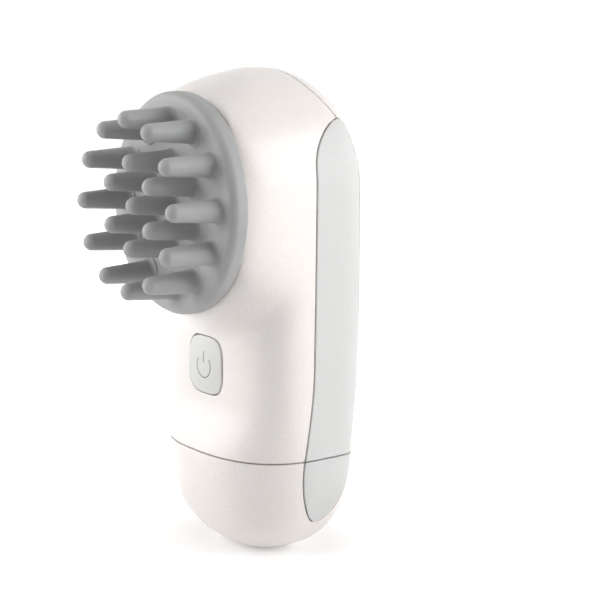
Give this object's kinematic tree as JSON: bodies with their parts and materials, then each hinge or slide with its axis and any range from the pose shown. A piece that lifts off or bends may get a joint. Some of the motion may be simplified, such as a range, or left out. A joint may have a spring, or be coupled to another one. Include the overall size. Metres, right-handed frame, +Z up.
{
  "type": "facial cleansing device",
  "caption": "Handheld cleansing and scalp massage device: a turning silicone finger head on a neck, a domed handle with side grips, a power button and a pull-off battery cap.",
  "frame": {"origin": "middle of the small flat under the battery cap, on the handle's axis", "axes": "+Z up the handle, -Y out of the neck towards the head's fingers, X across the width"},
  "size_m": [0.0666, 0.0706, 0.15],
  "materials": {
    "pearl_shell": "pearl white ABS, semi-gloss",
    "soft_grip": "light grey soft-touch",
    "button_plastic": "light grey satin",
    "silicone": "mid grey matte silicone",
    "hub_plastic": "light grey acetal",
    "gear_plastic": "natural acetal",
    "black_plastic": "black moulded",
    "black_rubber": "black",
    "steel": "plain",
    "contact_metal": "nickel plated",
    "brass": "plain",
    "cell": "dry cell with a plain sleeve",
    "board": "green board",
    "lead_sleeve": "lead sleeve"
  },
  "bodies": {
    "handle": {"front_shell": "pearl_shell", "rear_shell": "pearl_shell", "side_grip_left": "soft_grip", "side_grip_right": "soft_grip", "shell_screws": "steel", "board_screws": "steel", "motor_screws": "steel", "gearbox_screws": "steel", "button_seal": "black_rubber", "shaft_seal": "silicone", "top_contact_plates": "contact_metal", "top_contact_spring": "contact_metal", "circuit_board": "board", "tact_switch": "black_plastic", "battery_holder": "black_plastic", "battery_left": "cell", "battery_right": "cell", "battery_leads": "lead_sleeve", "motor_leads": "lead_sleeve", "motor_can": "steel", "motor_end_cap": "black_plastic", "gearbox_frame": "black_plastic", "gearbox_cover": "black_plastic", "idler_axle": "steel", "front_bush": "brass", "rear_bush": "brass"},
    "button": {"power_button": "button_plastic"},
    "plunger": {"switch_plunger": "button_plastic"},
    "rotor": {"motor_shaft": "steel", "motor_pinion": "brass"},
    "compound": {"compound_gear": "gear_plastic"},
    "output": {"output_shaft": "steel", "output_gear": "gear_plastic", "shaft_clip": "steel", "drive_hub": "hub_plastic"},
    "head": {"head_carrier": "hub_plastic", "massage_pad": "silicone"},
    "cap": {"battery_cap": "pearl_shell", "cap_grip_left": "soft_grip", "cap_grip_right": "soft_grip", "cap_seal": "black_rubber", "cap_contact_bridge": "contact_metal", "cap_contact_spring": "contact_metal"}
  },
  "joints": [
    {"name": "button_press", "type": "slide", "parent": "handle", "child": "button", "axis": [0, 1, 0], "range_m": [0, 0.0006], "stiffness_N_per_m": 1500, "springref_m": -0.0003},
    {"name": "switch_press", "type": "slide", "parent": "handle", "child": "plunger", "axis": [0, 1, 0], "range_m": [0, 0.0006]},
    {"name": "head_spin", "type": "hinge", "parent": "handle", "child": "output", "pos_m": [0, 0, 0.1098], "axis": [0, 1, 0], "continuous": true},
    {"name": "compound_spin", "type": "hinge", "parent": "handle", "child": "compound", "pos_m": [0, 0, 0.0948], "axis": [0, 1, 0], "continuous": true},
    {"name": "motor_spin", "type": "hinge", "parent": "handle", "child": "rotor", "pos_m": [0, 0, 0.0818], "axis": [0, 1, 0], "continuous": true},
    {"name": "head_pull", "type": "slide", "parent": "output", "child": "head", "axis": [0, -1, 0], "range_m": [0, 0.012]},
    {"name": "cap_pull", "type": "slide", "parent": "handle", "child": "cap", "axis": [0, 0, -1], "range_m": [0, 0.04]}
  ],
  "couplings": [
    {"joint": "switch_press", "follows": "button_press", "ratio": 1},
    {"joint": "compound_spin", "follows": "head_spin", "ratio": -4},
    {"joint": "motor_spin", "follows": "head_spin", "ratio": 13.333}
  ]
}
